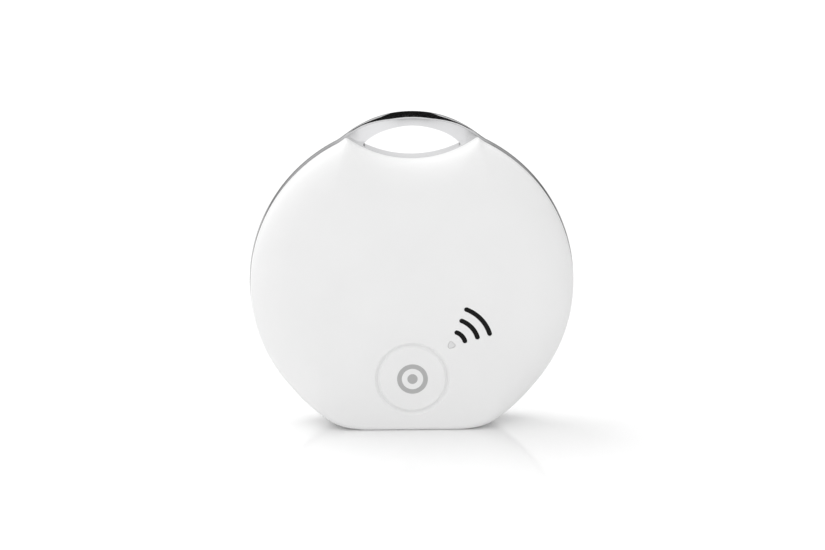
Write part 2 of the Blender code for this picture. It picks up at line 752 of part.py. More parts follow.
def make_contacts():
    """Spring strips soldered to the board: one under the cell's cap, one on the can's side."""
    make_strip("negative_contact", [
        (13.2 * MM, BOARD_FRONT - 0.13 * MM),
        (11.3 * MM, BOARD_FRONT - 0.13 * MM),
        (11.1 * MM, -1.78 * MM),
        (2.6 * MM, -1.78 * MM),
        (1.2 * MM, CELL_FRONT - 0.13 * MM),
        (-0.6 * MM, CELL_FRONT - 0.13 * MM),
        (-1.4 * MM, -1.5 * MM),
    ], 2.4 * MM, NEGATIVE_CONTACT_ANGLE)
    make_strip("positive_contact", [
        (13.4 * MM, BOARD_REAR + 0.13 * MM),
        (11.6 * MM, BOARD_REAR + 0.13 * MM),
        (11.35 * MM, 1.2 * MM),
        (10.5 * MM, 1.2 * MM),
        (10.13 * MM, 0.9 * MM),
        (10.13 * MM, -0.2 * MM),
    ], 2.6 * MM, POSITIVE_CONTACT_ANGLE)


def make_cell():
    """Coin cell: positive can, nylon seal, negative cap and the pellet inside."""
    shell = 0.25 * MM
    crimp = -1.0 * MM
    can_bore = CELL_RADIUS - shell
    cap_radius = 8.9 * MM
    seal_inner = cap_radius + 0.1 * MM
    simple("cell_can", "steel", add_turned, [
        (0.0, CELL_REAR),
        (CELL_RADIUS - 0.15 * MM, CELL_REAR),
        (CELL_RADIUS, CELL_REAR - 0.15 * MM),
        (CELL_RADIUS, crimp),
        (9.35 * MM, crimp),
        (9.35 * MM, crimp + 0.2 * MM),
        (can_bore, crimp + 0.2 * MM),
        (can_bore, CELL_REAR - shell),
        (0.0, CELL_REAR - shell),
    ], centre=CELL_CENTRE, count=64, origin=CELL_CENTRE)
    simple("cell_seal", "cell_seal", add_turned, [
        (seal_inner, crimp - 0.05 * MM),
        (9.28 * MM, crimp - 0.05 * MM),
        (9.28 * MM, crimp + 0.28 * MM),
        (can_bore - 0.1 * MM, crimp + 0.28 * MM),
        (can_bore - 0.1 * MM, 1.65 * MM),
        (seal_inner, 1.65 * MM),
    ], centre=CELL_CENTRE, count=48, origin=CELL_CENTRE)
    simple("cell_cap", "steel", add_turned, [
        (0.0, CELL_FRONT),
        (cap_radius - 0.2 * MM, CELL_FRONT),
        (cap_radius, CELL_FRONT + 0.2 * MM),
        (cap_radius, 1.2 * MM),
        (cap_radius - shell, 1.2 * MM),
        (cap_radius - shell, CELL_FRONT + shell),
        (0.0, CELL_FRONT + shell),
    ], centre=CELL_CENTRE, count=48, origin=CELL_CENTRE)
    simple(
        "cell_pellet", "foam", add_turned,
        disc(8.4 * MM, CELL_FRONT + 0.35 * MM, 1.7 * MM), centre=CELL_CENTRE, origin=CELL_CENTRE,
    )
    simple(
        "cell_pad", "foam", add_turned,
        disc(6.0 * MM, CELL_REAR + GAP, INNER_FACE - GAP), centre=CELL_CENTRE,
    )


# ---------------------------------------------------------------- the whole tag

for old in list(bpy.data.objects):
    bpy.data.objects.remove(old)

body_middle = bpy.data.objects.new("body_middle", None)
bpy.context.scene.collection.objects.link(body_middle)
body_middle.location = (0.0, 0.0, BASE_DROP)

make_front_cover()
make_rear_cover()
make_key_loop_frame()
make_button()
make_switch()
make_light()
make_sounder()
make_board()
make_chips()
make_screws()
make_tray()
make_contacts()
make_cell()
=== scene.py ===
"""Looks of the bluetooth tracker tag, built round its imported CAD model."""

import math

import bmesh
import bpy
from mathutils import Matrix, Vector


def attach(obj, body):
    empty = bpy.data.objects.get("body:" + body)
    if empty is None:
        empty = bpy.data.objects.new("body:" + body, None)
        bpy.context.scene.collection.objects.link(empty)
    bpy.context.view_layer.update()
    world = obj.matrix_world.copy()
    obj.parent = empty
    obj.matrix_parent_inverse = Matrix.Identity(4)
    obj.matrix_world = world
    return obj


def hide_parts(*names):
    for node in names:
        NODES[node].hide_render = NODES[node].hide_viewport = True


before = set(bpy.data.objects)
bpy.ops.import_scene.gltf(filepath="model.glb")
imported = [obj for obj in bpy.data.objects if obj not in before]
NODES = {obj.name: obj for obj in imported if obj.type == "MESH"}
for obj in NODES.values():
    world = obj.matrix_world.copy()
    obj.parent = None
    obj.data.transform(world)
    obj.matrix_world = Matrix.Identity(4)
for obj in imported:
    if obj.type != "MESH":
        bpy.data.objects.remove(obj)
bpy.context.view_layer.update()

MM = 0.001
FAR_AWAY = 1.0
SHARP_ANGLE = math.radians(35)

# ---------------------------------------------------------------- sizes, nearly all as in the CAD

BODY_MIDDLE = 17.25 * MM
BODY_RADIUS = 19.0 * MM
SCOOP_RADIUS = 12.5 * MM
SCOOP_HEIGHT = 27.6 * MM
LOOP_HALF_WIDTH = 8.35 * MM
LOOP_RISE = 5.0 * MM
LOOP_HEIGHT = 15.22 * MM
EYE_RADIUS = 7.6 * MM
EYE_HEIGHT = 11.6 * MM
EYE_MIDDLE = 17.0 * MM
HORN_BLEND = 0.3 * MM
LOOP_BLEND = 1.1 * MM
BASE_BLEND = 1.0 * MM
EYE_BLEND = 0.5 * MM
INSET_BLEND = 1.2

SCREW_CENTRES = ((13.2 * MM, 6.6 * MM), (9.6 * MM, -11.2 * MM), (-9.6 * MM, -10.6 * MM))
BOSS_RADIUS = 1.4 * MM
BOSS_HOLE_RADIUS = 0.5 * MM
BOSS_END = -0.55 * MM

FACE = 3.8 * MM
INNER_FACE = 2.7 * MM
FRAME_DEPTH = {-1: 0.3 * MM, 1: 1.25 * MM}
PARTING = {-1: 0.35 * MM, 1: 1.3 * MM}
FRAME_WALL = 1.0 * MM
ARCH_HALF_DEPTH = 1.6 * MM
ARCH_FLAT = 1.5 * MM
ARCH_FOOT = 6.8 * MM
ARCH_CLEARANCE = 0.06 * MM
BAR_HALF_WIDTH = 7.0 * MM
STANDS_PROUD = 0.12 * MM
SKIRT_OUTER = 1.08 * MM
SKIRT_INNER = 1.88 * MM
SKIRT_END = 0.15 * MM
SKIRT_ROOT = 1.9 * MM
ROLL_WIDTH = 4.5 * MM
ROLL_DEPTH = 2.3 * MM
BASE_ROLL = 0.5 * MM
INNER_ROLL = 2.2 * MM
WALL = 1.1 * MM

BUTTON_HEIGHT = -10.9 * MM
BUTTON_RADIUS = 4.09 * MM
BUTTON_HOLE_RADIUS = 4.1 * MM
GROOVE_REACH = 0.38 * MM
GROOVE_DEPTH = 0.24 * MM
SLOT_CENTRE = (4.55 * MM, -6.78 * MM)
SLOT_RADII = (1.65 * MM, 3.18 * MM, 4.67 * MM)
SLOT_WIDTH = 0.56 * MM
SLOT_ANGLES = (math.radians(17), math.radians(68))
PIPE_RADIUS = 0.4 * MM
PIPE_LOBE = 0.05 * MM
PIPE_REAR = -1.2 * MM

BOARD_REAR = 0.3 * MM
GAP = 0.05 * MM
CHIP_HEIGHT = 0.85 * MM


# ---------------------------------------------------------------- outlines

def soft_min(a, b, blend):
    overlap = max(blend - abs(a - b), 0.0) / blend
    return min(a, b) - overlap * overlap * blend / 4


def soft_max(a, b, blend):
    return -soft_min(-a, -b, blend)


def ray_to_circle(angle, start, centre, radius, far):
    rise = centre - start
    across = rise * math.cos(angle)
    if abs(across) >= radius:
        return FAR_AWAY
    half_chord = math.sqrt(radius * radius - across * across)
    reach = rise * math.sin(angle) + (half_chord if far else -half_chord)
    return reach if reach > 0 else FAR_AWAY


def ray_to_base(angle, drop):
    return drop / -math.sin(angle) if math.sin(angle) < -0.1 else FAR_AWAY


def ray_to_loop(angle, inset):
    across = math.cos(angle) / (LOOP_HALF_WIDTH - inset)
    up = math.sin(angle) / (LOOP_RISE - inset)
    rise = LOOP_HEIGHT / (LOOP_RISE - inset)
    square = across * across + up * up
    within = (up * rise) ** 2 - square * (rise * rise - 1)
    return (up * rise + math.sqrt(within)) / square if within > 0 and up > 0 else FAR_AWAY


def crown_radius(angle, inset=0.0):
    loop = ray_to_loop(angle, inset)
    side = BODY_RADIUS - inset
    return side if loop == FAR_AWAY else soft_max(side, loop, LOOP_BLEND)


def body_radius(angle, inset=0.0, base_inset=0.0):
    side = crown_radius(angle, inset)
    base = ray_to_base(angle, BODY_MIDDLE - base_inset)
    scoop = ray_to_circle(angle, 0.0, SCOOP_HEIGHT, SCOOP_RADIUS + inset, far=False)
    rounded = soft_min(side, base, BASE_BLEND + INSET_BLEND * base_inset)
    return soft_min(rounded, scoop, HORN_BLEND + INSET_BLEND * inset)


def frame_radius(angle):
    return soft_min(crown_radius(angle), ray_to_base(angle, BODY_MIDDLE), BASE_BLEND)


def frame_inner_radius(angle):
    wall = soft_min(
        BODY_RADIUS - FRAME_WALL, ray_to_base(angle, BODY_MIDDLE - FRAME_WALL),
        BASE_BLEND + INSET_BLEND * FRAME_WALL,
    )
    scoop = ray_to_circle(angle, 0.0, SCOOP_HEIGHT, SCOOP_RADIUS, far=False)
    return min(wall, scoop + ARCH_CLEARANCE)


def frame_depth(side, x, height):
    """The frame is a narrow band, which swells towards the key loop's middle."""
    share = min(max((ARCH_FOOT - abs(x)) / (ARCH_FOOT - ARCH_FLAT), 0.0), 1.0) if height > 0 else 0.0
    swell = share * share * (3 - 2 * share)
    return FRAME_DEPTH[side] + (ARCH_HALF_DEPTH - FRAME_DEPTH[side]) * swell


def eye_radius(angle):
    roof = ray_to_circle(angle, EYE_MIDDLE, EYE_HEIGHT, EYE_RADIUS, far=True)
    floor = ray_to_circle(angle, EYE_MIDDLE, SCOOP_HEIGHT, SCOOP_RADIUS, far=True)
    return soft_min(roof, floor, EYE_BLEND)


def spaced(first, last, count):
    return [math.radians(first + (last - first) * i / count) for i in range(count)]


BODY_ANGLES = (
    spaced(-60, 55, 92) + spaced(55, 80, 50) + spaced(80, 100, 20)
    + spaced(100, 125, 50) + spaced(125, 240, 92) + spaced(240, 300, 96)
)
EYE_ANGLES = spaced(-30, 30, 40) + spaced(30, 150, 40) + spaced(150, 210, 40) + spaced(210, 330, 40)


def polar(radius_at, angles=BODY_ANGLES, middle=0.0):
    return [
        (radius_at(a) * math.cos(a), BODY_MIDDLE + middle + radius_at(a) * math.sin(a)) for a in angles
    ]


def slot_outline(radius, grow, steps=18, cap_steps=8):
    half = SLOT_WIDTH / 2 + grow
    first, last = SLOT_ANGLES
    # The ends' caps keep their centres as the slot grows.
    points = []
    for side, start, direction in ((half, first, 1), (-half, last, -1)):
        for i in range(steps + 1):
            a = start + direction * (last - first) * i / steps
            points.append(((radius + side) * math.cos(a), (radius + side) * math.sin(a)))
        end = start + direction * (last - first)
        for i in range(1, cap_steps):
            turn = math.pi * i / cap_steps
            along = half * math.sin(turn) * direction
            across = side * math.cos(turn)
            points.append((
                (radius + across) * math.cos(end) - along * math.sin(end),
                (radius + across) * math.sin(end) + along * math.cos(end),
            ))
    return [(SLOT_CENTRE[0] + x, BODY_MIDDLE + SLOT_CENTRE[1] + z) for x, z in points]


def pipe_outline(grow=0.0, count=36):
    points = []
    for i in range(count):
        a = 2 * math.pi * i / count
        radius = PIPE_RADIUS + grow + PIPE_LOBE * math.cos(3 * (a - math.radians(225)))
        points.append((
            SLOT_CENTRE[0] + radius * math.cos(a),
            BODY_MIDDLE + SLOT_CENTRE[1] + radius * math.sin(a),
        ))
    return points


# ---------------------------------------------------------------- meshes

def add_loft(bm, rings, closed=False):
    """A skin over rings of equal length. Unless closed on itself, both ends get a flat cap."""
    rows = [[bm.verts.new(p) for p in ring] for ring in rings]
    pairs = list(zip(rows, rows[1:]))
    if closed:
        pairs.append((rows[-1], rows[0]))
    for low, high in pairs:
        for i in range(len(low)):
            j = (i + 1) % len(low)
            bm.faces.new((low[i], low[j], high[j], high[i]))
    if not closed:
        bm.faces.new(rows[0])
        bm.faces.new(rows[-1])


def level(outline, depth):
    return [Vector((x, depth, z)) for x, z in outline]


def add_turned(bm, profile, centre, count=96, closed=False):
    """Turns (radius, depth) points about the Y line through centre (x, height)."""
    turn = 2 * math.pi / count
    rows = []
    for radius, depth in profile:
        spokes = 1 if radius == 0 else count
        rows.append([
            bm.verts.new((
                centre[0] + radius * math.cos(turn * i), depth, centre[1] + radius * math.sin(turn * i)
            ))
            for i in range(spokes)
        ])
    pairs = list(zip(rows, rows[1:]))
    if closed:
        pairs.append((rows[-1], rows[0]))
    for low, high in pairs:
        for i in range(count):
            j = (i + 1) % count
            corners = [low[i % len(low)], low[j % len(low)], high[j % len(high)], high[i % len(high)]]
            bm.faces.new(list(dict.fromkeys(corners)))


def make_object(name, bm):
    bmesh.ops.recalc_face_normals(bm, faces=bm.faces)
    mesh = bpy.data.meshes.new(name)
    bm.to_mesh(mesh)
    bm.free()
    made = bpy.data.objects.new(name, mesh)
    bpy.context.scene.collection.objects.link(made)
    return made


def cut(target, bm, operation="DIFFERENCE"):
    """Cuts or joins the bodies in bm, and keeps only the resulting mesh."""
    tool = make_object("tool", bm)
    modifier = target.modifiers.new("cut", "BOOLEAN")
    modifier.object = tool
    modifier.operation = operation
    modifier.solver = "EXACT"
    settle(target)
    bpy.data.objects.remove(tool)


def settle(target):
    """Applies the object's modifiers."""
    bpy.context.view_layer.update()
    depsgraph = bpy.context.evaluated_depsgraph_get()
    done = bpy.data.meshes.new_from_object(target.evaluated_get(depsgraph))
    done.name = target.name
    target.modifiers.clear()
    target.data = done


def shade(target):
    """Smooth shading whose normals follow the larger faces, with edges over SHARP_ANGLE kept."""
    target.data.shade_smooth()
    target.data.set_sharp_from_angle(angle=SHARP_ANGLE)
    weighted = target.modifiers.new("normals", "WEIGHTED_NORMAL")
    weighted.keep_sharp = True
    weighted.weight = 90


# ---------------------------------------------------------------- materials

def grey(value):
    return (value, value, value)


def new_material(name, colour, roughness, metallic=0.0):
    made = bpy.data.materials.new(name)
    made.use_nodes = True
    shader = made.node_tree.nodes["Principled BSDF"]
    shader.inputs["Base Color"].default_value = (*colour, 1.0)
    shader.inputs["Roughness"].default_value = roughness
    shader.inputs["Metallic"].default_value = metallic
    return made, made.node_tree, shader


def position(tree, scale=(1.0, 1.0, 1.0), turn=(0.0, 0.0, 0.0)):
    """The object's own coordinates, scaled, as a socket."""
    coordinates = tree.nodes.new("ShaderNodeTexCoord")
    mapping = tree.nodes.new("ShaderNodeMapping")
    mapping.inputs["Scale"].default_value = scale
    mapping.inputs["Rotation"].default_value = turn
    tree.links.new(coordinates.outputs["Object"], mapping.inputs["Vector"])
    return mapping.outputs["Vector"]


def noise(tree, vector, scale, detail=2.0, rough=0.5):
    made = tree.nodes.new("ShaderNodeTexNoise")
    made.inputs["Scale"].default_value = scale
    made.inputs["Detail"].default_value = detail
    made.inputs["Roughness"].default_value = rough
    tree.links.new(vector, made.inputs["Vector"])
    return made.outputs["Fac"]


def spread(tree, value, low, high, start=0.3, end=0.7):
    """value from start to end mapped to low to high."""
    made = tree.nodes.new("ShaderNodeMapRange")
    made.inputs["From Min"].default_value = start
    made.inputs["From Max"].default_value = end
    made.inputs["To Min"].default_value = low
    made.inputs["To Max"].default_value = high
    tree.links.new(value, made.inputs["Value"])
    return made.outputs["Result"]


def ramp(tree, value, stops):
    made = tree.nodes.new("ShaderNodeValToRGB")
    elements = made.color_ramp.elements
    while len(elements) < len(stops):
        elements.new(0.5)
    for element, (place, colour) in zip(elements, stops):
        element.position = place
        element.color = (*colour, 1.0)
    tree.links.new(value, made.inputs["Fac"])
    return made.outputs["Color"]


def bump(tree, shader, height, strength, distance):
    made = tree.nodes.new("ShaderNodeBump")
    made.inputs["Strength"].default_value = strength
    made.inputs["Distance"].default_value = distance
    tree.links.new(height, made.inputs["Height"])
    tree.links.new(made.outputs["Normal"], shader.inputs["Normal"])


def moulded_plastic(name, colour, roughness, grain=9000.0, strength=0.12):
    """Moulded plastic with a spark-eroded grain and faint flow clouds."""
    made, tree, shader = new_material(name, colour, roughness)
    where = position(tree)
    clouds = noise(tree, where, 130.0, 3.0)
    fine = noise(tree, where, grain, 3.0, 0.6)
    lighter = tuple(min(c * 1.012, 1.0) for c in colour)
    darker = tuple(c * 0.988 for c in colour)
    tree.links.new(ramp(tree, clouds, ((0.3, darker), (0.7, lighter))), shader.inputs["Base Color"])
    tree.links.new(
        spread(tree, fine, roughness - 0.05, roughness + 0.05), shader.inputs["Roughness"]
    )
    bump(tree, shader, fine, strength, 0.00002)
    return made


def plating(name, colour, roughness, streak=(1.0, 1.0, 1.0), strength=0.04):
    """Plated or rolled metal: slight haze and hairlines along the streak."""
    made, tree, shader = new_material(name, colour, roughness, 1.0)
    haze = noise(tree, position(tree), 260.0, 4.0)
    hair = noise(tree, position(tree, streak), 4000.0, 2.0)
    tree.links.new(
        ramp(tree, haze, ((0.3, tuple(c * 0.97 for c in colour)), (0.7, colour))),
        shader.inputs["Base Color"],
    )
    tree.links.new(
        spread(tree, hair, max(roughness - 0.03, 0.01), roughness + 0.05), shader.inputs["Roughness"]
    )
    bump(tree, shader, hair, strength, 0.00001)
    return made


def woven_mesh():
    made, tree, shader = new_material("acoustic_mesh", grey(0.006), 0.85)
    shader.inputs["Specular IOR Level"].default_value = 0.15
    where = position(tree)
    heights = []
    for turn in (math.radians(45), math.radians(-45)):
        wave = tree.nodes.new("ShaderNodeTexWave")
        wave.inputs["Scale"].default_value = 1500.0
        tree.links.new(position(tree, turn=(0.0, turn, 0.0)), wave.inputs["Vector"])
        heights.append(wave.outputs["Fac"])
    join = tree.nodes.new("ShaderNodeMath")
    join.operation = "MAXIMUM"
    tree.links.new(heights[0], join.inputs[0])
    tree.links.new(heights[1], join.inputs[1])
    tree.links.new(
        ramp(tree, join.outputs["Value"], ((0.2, grey(0.002)), (0.9, grey(0.012)))),
        shader.inputs["Base Color"],
    )
    bump(tree, shader, join.outputs["Value"], 0.5, 0.00003)
    return made


def bright_plating():
    """Plating whose colour carries painted shade: darkened on the body's sides, where a white studio
    would show it too light.
    """
    made = plating("bright_plating", (0.7, 0.7, 0.71), 0.07)
    tree = made.node_tree
    shader = tree.nodes["Principled BSDF"]
    across = tree.nodes.new("ShaderNodeSeparateXYZ")
    tree.links.new(position(tree), across.inputs["Vector"])
    # Painted shade: the colour darkens towards the body's left and right sides, most on the right, in
    # place of darker reflections there.
    painted_side_shade = ramp(tree, spread(tree, across.outputs["X"], 0.0, 1.0, -BODY_RADIUS, BODY_RADIUS), (
        (0.0, grey(0.55)), (0.25, grey(0.5)), (0.34, grey(1.0)),
        (0.66, grey(1.0)), (0.75, grey(0.35)), (1.0, grey(0.45)),
    ))
    blend = tree.nodes.new("ShaderNodeMix")
    blend.data_type = "RGBA"
    blend.blend_type = "MULTIPLY"
    blend.inputs["Factor"].default_value = 1.0
    tree.links.new(shader.inputs["Base Color"].links[0].from_socket, blend.inputs["A"])
    tree.links.new(painted_side_shade, blend.inputs["B"])
    tree.links.new(blend.outputs["Result"], shader.inputs["Base Color"])
    return made


WHITE = moulded_plastic("white_moulding", grey(0.79), 0.42)
BUTTON_WHITE = moulded_plastic("button_moulding", grey(0.79), 0.4)
MARK_GREY = moulded_plastic("printed_grey", grey(0.41), 0.5, 14000.0)
BLACK = moulded_plastic("black_moulding", grey(0.02), 0.45)
CHROME = bright_plating()
STEEL = plating("nickel_steel", grey(0.6), 0.25, (1.0, 1.0, 0.05), 0.1)
GOLD = plating("gold_plating", (0.83, 0.66, 0.36), 0.22)
BRASS = plating("rolled_brass", (0.74, 0.56, 0.28), 0.28, (0.05, 1.0, 1.0), 0.1)
PIPE = moulded_plastic("frosted_pipe", grey(0.68), 0.35, 7000.0)
CERAMIC = moulded_plastic("fired_ceramic", (0.72, 0.7, 0.64), 0.55, 6000.0, 0.3)
SEAL = moulded_plastic("nylon_seal", (0.05, 0.07, 0.16), 0.5)
MESH = woven_mesh()


# ---------------------------------------------------------------- covers

def base_share(angle):
    """0 on the round sides, rising smoothly to 1 along the base, where the edge is rolled tightly."""
    share = min(max((-math.sin(angle) - 0.62) / 0.33, 0.0), 1.0)
    return share * share * (3 - 2 * share)


def mix(wide, tight, angle):
    share = base_share(angle)
    return wide * (1 - share) + tight * share


def cover_ring(side, inset_at, depth_at):
    ring = []
    for angle in BODY_ANGLES:
        inset, base_inset = inset_at(angle)
        radius = body_radius(angle, inset, base_inset)
        ring.append(Vector((
            radius * math.cos(angle), side * depth_at(angle), BODY_MIDDLE + radius * math.sin(angle)
        )))
    return ring


def level_ring(side, inset, base_inset, depth):
    return cover_ring(side, lambda _: (inset, base_inset), lambda _: depth)


def outer_roll_ring(side, phi):
    def inset(angle):
        rolled = mix(ROLL_WIDTH, BASE_ROLL, angle) * (1 - math.cos(phi))
        return STANDS_PROUD + rolled, rolled

    def depth(angle):
        return FACE - mix(ROLL_DEPTH, BASE_ROLL, angle) * (1 - math.sin(phi))

    return cover_ring(side, inset, depth)


def inner_roll_ring(side, phi):
    def inset(angle):
        rolled = mix(INNER_ROLL, 0.2 * MM, angle) * (1 - math.cos(phi))
        return STANDS_PROUD + WALL + rolled, WALL + rolled

    def depth(_):
        return SKIRT_ROOT + (INNER_FACE - SKIRT_ROOT) * math.sin(phi)

    return cover_ring(side, inset, depth)


def make_cover(name, side):
    quarter = math.pi / 2
    outer_steps, inner_steps = 28, 8
    fillet = 0.06 * MM
    rings = [outer_roll_ring(side, quarter * (1 - i / outer_steps)) for i in range(outer_steps + 1)]
    parting = PARTING[side]
    for i in range(5):
        turn = quarter * i / 4
        rings.append(level_ring(
            side,
            STANDS_PROUD + fillet * (1 - math.cos(turn)),
            fillet * (1 - math.cos(turn)),
            parting + fillet * (1 - math.sin(turn)),
        ))
    rings += [
        level_ring(side, SKIRT_OUTER, SKIRT_OUTER, parting),
        level_ring(side, SKIRT_OUTER, SKIRT_OUTER, SKIRT_END + fillet),
        level_ring(side, SKIRT_OUTER + fillet, SKIRT_OUTER + fillet, SKIRT_END),
        level_ring(side, SKIRT_INNER - fillet, SKIRT_INNER - fillet, SKIRT_END),
        level_ring(side, SKIRT_INNER, SKIRT_INNER, SKIRT_END + fillet),
        level_ring(side, SKIRT_INNER, SKIRT_INNER, SKIRT_ROOT),
    ]
    rings += [inner_roll_ring(side, quarter * i / inner_steps) for i in range(inner_steps + 1)]
    bm = bmesh.new()
    add_loft(bm, rings)
    return make_object(name, bm)


def flared(bm, outline_at, fillet):
    """A cutter through the front wall whose mouth is rounded by fillet. outline_at takes the growth."""
    beyond, steps = 0.3 * MM, 5
    rings = [level(outline_at(fillet), -FACE - beyond)]
    for i in range(steps + 1):
        turn = math.pi / 2 * i / steps
        growth, sunk = fillet * (1 - math.sin(turn)), fillet * (1 - math.cos(turn))
        rings.append(level(outline_at(growth), -FACE + sunk))
    rings.append(level(outline_at(0.0), -INNER_FACE + beyond))
    add_loft(bm, rings)


def groove_depth(distance):
    """Depth of the soft groove round the button, at a distance from its middle line."""
    share = min(abs(distance) / GROOVE_REACH, 1.0)
    return GROOVE_DEPTH * (0.5 + 0.5 * math.cos(math.pi * share))


def add_bosses(cover):
    """The three posts that the circuit board is screwed to."""
    bevel = 0.1 * MM
    root, bottom = -INNER_FACE - 0.3 * MM, -2.2 * MM
    posts = bmesh.new()
    for x, height in SCREW_CENTRES:
        add_turned(posts, [
            (0.0, root), (BOSS_RADIUS, root),
            (BOSS_RADIUS, BOSS_END - bevel), (BOSS_RADIUS - bevel, BOSS_END),
            (BOSS_HOLE_RADIUS + bevel, BOSS_END), (BOSS_HOLE_RADIUS, BOSS_END - bevel),
            (BOSS_HOLE_RADIUS, bottom), (0.0, bottom),
        ], (x, BODY_MIDDLE + height), 48)
    cut(cover, posts, "UNION")


def make_front_cover():
    cover = make_cover("front_shell", -1)
    add_bosses(cover)
    tools = bmesh.new()
    button_centre = (0.0, BODY_MIDDLE + BUTTON_HEIGHT)
    steps = 14
    groove = [(BUTTON_HOLE_RADIUS + GROOVE_REACH, -FACE - 0.3 * MM)]
    for i in range(steps + 1):
        reach = GROOVE_REACH * (1 - i / steps)
        groove.append((BUTTON_HOLE_RADIUS + reach, -FACE + groove_depth(reach)))
    profile = [(0.0, groove[0][1])] + groove + [
        (BUTTON_HOLE_RADIUS, -INNER_FACE + 0.3 * MM), (0.0, -INNER_FACE + 0.3 * MM)
    ]
    add_turned(tools, profile, button_centre, 144)
    for radius in SLOT_RADII:
        flared(tools, lambda grow, r=radius: slot_outline(r, grow), 0.03 * MM)
    flared(tools, lambda grow: pipe_outline(0.02 * MM + grow), 0.04 * MM)
    cut(cover, tools)
    shade(cover)
    cover.data.materials.append(WHITE)
    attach(cover, "case")
    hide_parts("front_cover")


def make_rear_cover():
    cover = make_cover("rear_shell", 1)
    tools = bmesh.new()
    half_width, corner = 3.2 * MM, 0.3 * MM
    low, high = 1.1 * MM, 2.2 * MM
    points = []
    for x, y, start in (
        (half_width - corner, low, -90), (half_width - corner, high - corner, 0),
        (-half_width + corner, high - corner, 90), (-half_width + corner, low, 180),
    ):
        for i in range(7):
            turn = math.radians(start + 15 * i)
            points.append((x + corner * math.cos(turn), y + corner * math.sin(turn)))
    notch_top = 0.8 * MM
    add_loft(tools, [[Vector((x, y, z)) for x, y in points] for z in (-notch_top, notch_top)])
    cut(cover, tools)
    shade(cover)
    cover.data.materials.append(WHITE)
    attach(cover, "rear_lid")
    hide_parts("rear_cover")


def band_section(angle):
    """Points of the band's section, from its inner front round its crowned outside to its inner rear."""
    crown, fillet = 0.07 * MM, 0.1 * MM
    inner, outer = frame_inner_radius(angle), frame_radius(angle)
    height = outer * math.sin(angle)
    depth = {side: frame_depth(side, outer * math.cos(angle), height) for side in (-1, 1)}
    profile = [(outer - inner, -depth[-1])]
    middle = (depth[1] - depth[-1]) / 2
    half = (depth[1] + depth[-1]) / 2
    turns = [math.pi / 8 * i for i in range(5)]
    edge = [(crown + fillet * (1 - math.sin(t)), half - fillet * (1 - math.cos(t))) for t in turns]
    profile += [(inset, middle - reach) for inset, reach in edge]
    shares = [i / 6 - 1 for i in range(1, 12)]
    profile += [(crown * share * share, middle + share * (half - fillet)) for share in shares]
    profile += [(inset, middle + reach) for inset, reach in reversed(edge)]
    profile += [(outer - inner, depth[1])]
    return [
        Vector((
            (outer - inset) * math.cos(angle), y, BODY_MIDDLE + (outer - inset) * math.sin(angle)
        ))
        for inset, y in profile
    ]


def bar_outline():
    """The bar along the scoop. Its top is trimmed by the eye's floor."""
    points = []
    for radius, direction in ((SCOOP_RADIUS - 0.1 * MM, 1), (SCOOP_RADIUS + FRAME_WALL, -1)):
        half_turn = math.asin(BAR_HALF_WIDTH / radius)
        for i in range(97):
            turn = direction * half_turn * (i / 48 - 1)
            points.append((
                radius * math.sin(turn), BODY_MIDDLE + SCOOP_HEIGHT - radius * math.cos(turn)
            ))
    return points


def make_band():
    """The plated band between the covers, with the key loop above the scoop and the bar under it."""
    bm = bmesh.new()
    add_loft(bm, [band_section(a) for a in BODY_ANGLES], closed=True)
    band = make_object("plated_band", bm)
    bar = bmesh.new()
    add_loft(bar, [level(bar_outline(), y) for y in (-FRAME_DEPTH[-1], FRAME_DEPTH[1])])
    cut(band, bar, "UNION")
    eye = bmesh.new()
    outline = polar(eye_radius, EYE_ANGLES, EYE_MIDDLE)
    through = ARCH_HALF_DEPTH + 0.5 * MM
    add_loft(eye, [level(outline, -through), level(outline, through)])
    cut(band, eye)
    shade(band)
    band.data.materials.append(CHROME)
    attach(band, "case")
    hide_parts("key_loop_frame")
    # The white covers beside the band would be darkened by it, so it neither shades nor shadows them.
    band.visible_diffuse = band.visible_shadow = False


def make_button():
    """The cap, with its half of the soft groove, and the printed mark."""
    centre = (0.0, BODY_MIDDLE + BUTTON_HEIGHT)
    steps = 14
    sunk = 0.02 * MM
    profile = [(radius, -FACE + sunk) for radius in (0.0, 1.2 * MM, 2.4 * MM, 3.4 * MM)]
    for i in range(steps + 1):
        reach = GROOVE_REACH * (1 - i / steps)
        profile.append((BUTTON_RADIUS - reach, -FACE + max(groove_depth(reach), sunk)))
    flange, flange_front, flange_rear = 4.7 * MM, -2.65 * MM, -2.3 * MM
    recess, recess_floor = 3.2 * MM, -3.0 * MM
    post, post_tip = 1.3 * MM, -1.8 * MM
    eased = 0.05 * MM
    profile += [
        (BUTTON_RADIUS, flange_front), (flange - eased, flange_front), (flange, flange_front + eased),
        (flange, flange_rear - eased), (flange - eased, flange_rear), (recess, flange_rear),
        (recess, recess_floor), (post, recess_floor), (post, post_tip - eased), (post - eased, post_tip),
        (0.0, post_tip),
    ]
    bm = bmesh.new()
    add_turned(bm, profile, centre, 144)
    cap = make_object("button_top", bm)
    shade(cap)
    cap.data.materials.append(BUTTON_WHITE)
    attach(cap, "button")
    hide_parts("button_cap")

    mark = bmesh.new()
    top, bottom = -FACE + 0.006 * MM, -FACE + 0.05 * MM
    bevel = 0.01 * MM
    outer, inner, dot = 1.8 * MM, 1.25 * MM, 0.6 * MM
    add_turned(mark, [
        (inner, bottom), (inner, top + bevel), (inner + bevel, top), (outer - bevel, top),
        (outer, top + bevel), (outer, bottom),
    ], centre, 96, closed=True)
    add_turned(mark, [
        (0.0, top), (dot - bevel, top), (dot, top + bevel), (dot, bottom), (0.0, bottom)
    ], centre, 48)
    print_mark = make_object("button_mark", mark)
    shade(print_mark)
    print_mark.data.materials.append(MARK_GREY)
    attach(print_mark, "button")


